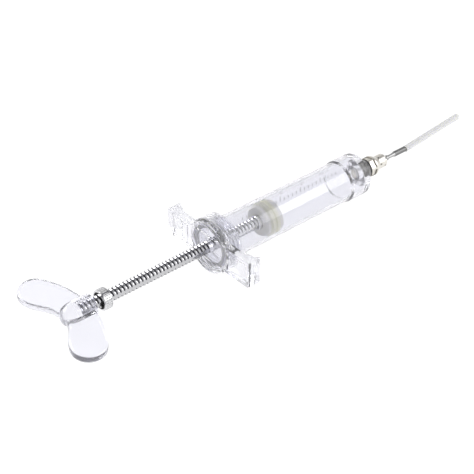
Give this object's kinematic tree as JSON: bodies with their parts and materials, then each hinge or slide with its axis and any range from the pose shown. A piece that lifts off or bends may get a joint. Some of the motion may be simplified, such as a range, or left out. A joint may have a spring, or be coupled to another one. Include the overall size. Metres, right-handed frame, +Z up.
{
  "type": "meat injector",
  "caption": "Hand syringe for injecting marinade: clear barrel with a winged screw cap, threaded plunger with dose nut and palm handle, metal nozzle, needle hub and push-on sleeve.",
  "frame": {"origin": "under the middle of the whole object, at the height of the screw cap's lowest point", "axes": "+X along the barrel towards the needle, +Z up and square to the finger wings, which lie along Y"},
  "size_m": [0.3868, 0.084, 0.04],
  "materials": {
    "clear_plastic": "polished clear polycarbonate",
    "handle_plastic": "polished clear polycarbonate",
    "rod_steel": "bright threaded steel",
    "nut_steel": "bright knurled steel",
    "nickel": "nickel-plated brass",
    "needle_steel": "drawn stainless steel",
    "piston_plastic": "milky nylon",
    "seal_silicone": "pale yellow silicone",
    "gasket_rubber": "pale silicone",
    "dark_rubber": "black nitrile",
    "sleeve_plastic": "milky white polyethylene"
  },
  "bodies": {
    "barrel": {"barrel": "clear_plastic", "cap_gasket": "gasket_rubber", "rear_cap": "clear_plastic", "nozzle_gasket": "dark_rubber", "nozzle": "nickel", "lock_ring_clip": "needle_steel"},
    "plunger": {"plunger_rod": "rod_steel", "palm_handle": "handle_plastic", "rod_locknut": "nut_steel", "piston_rear_plate": "piston_plastic", "piston_seal": "seal_silicone", "piston_front_plate": "piston_plastic", "piston_tip_nut": "nut_steel"},
    "nut_ring": {"nut_friction_ring": "dark_rubber"},
    "dose_nut": {"dose_nut": "nut_steel"},
    "lock_ring": {"lock_ring": "nickel"},
    "needle": {"needle_hub": "needle_steel", "needle_ferrule": "needle_steel", "cannula": "needle_steel"},
    "sleeve": {"sleeve": "sleeve_plastic"}
  },
  "joints": [
    {"name": "plunger_slide", "type": "slide", "parent": "barrel", "child": "plunger", "axis": [1, 0, 0], "range_m": [-0.0365, 0.078]},
    {"name": "nut_travel", "type": "slide", "parent": "plunger", "child": "nut_ring", "axis": [1, 0, 0], "range_m": [-0.00293, 0.00293]},
    {"name": "nut_turn", "type": "hinge", "parent": "nut_ring", "child": "dose_nut", "pos_m": [-0.1512, 0, 0.02], "axis": [1, 0, 0], "range_deg": [-360, 360]},
    {"name": "lock_turn", "type": "hinge", "parent": "barrel", "child": "lock_ring", "pos_m": [0.1, 0, 0.02], "axis": [1, 0, 0], "range_deg": [0, 90]},
    {"name": "needle_turn", "type": "hinge", "parent": "barrel", "child": "needle", "pos_m": [0.11, 0, 0.02], "axis": [1, 0, 0], "range_deg": [-45, 45]},
    {"name": "sleeve_pull", "type": "slide", "parent": "needle", "child": "sleeve", "axis": [0.9972, 0.0523, 0.0538], "range_m": [0, 0.012]}
  ],
  "couplings": [
    {"joint": "nut_travel", "follows": "nut_turn", "m_per_rad": 0.00046632}
  ]
}
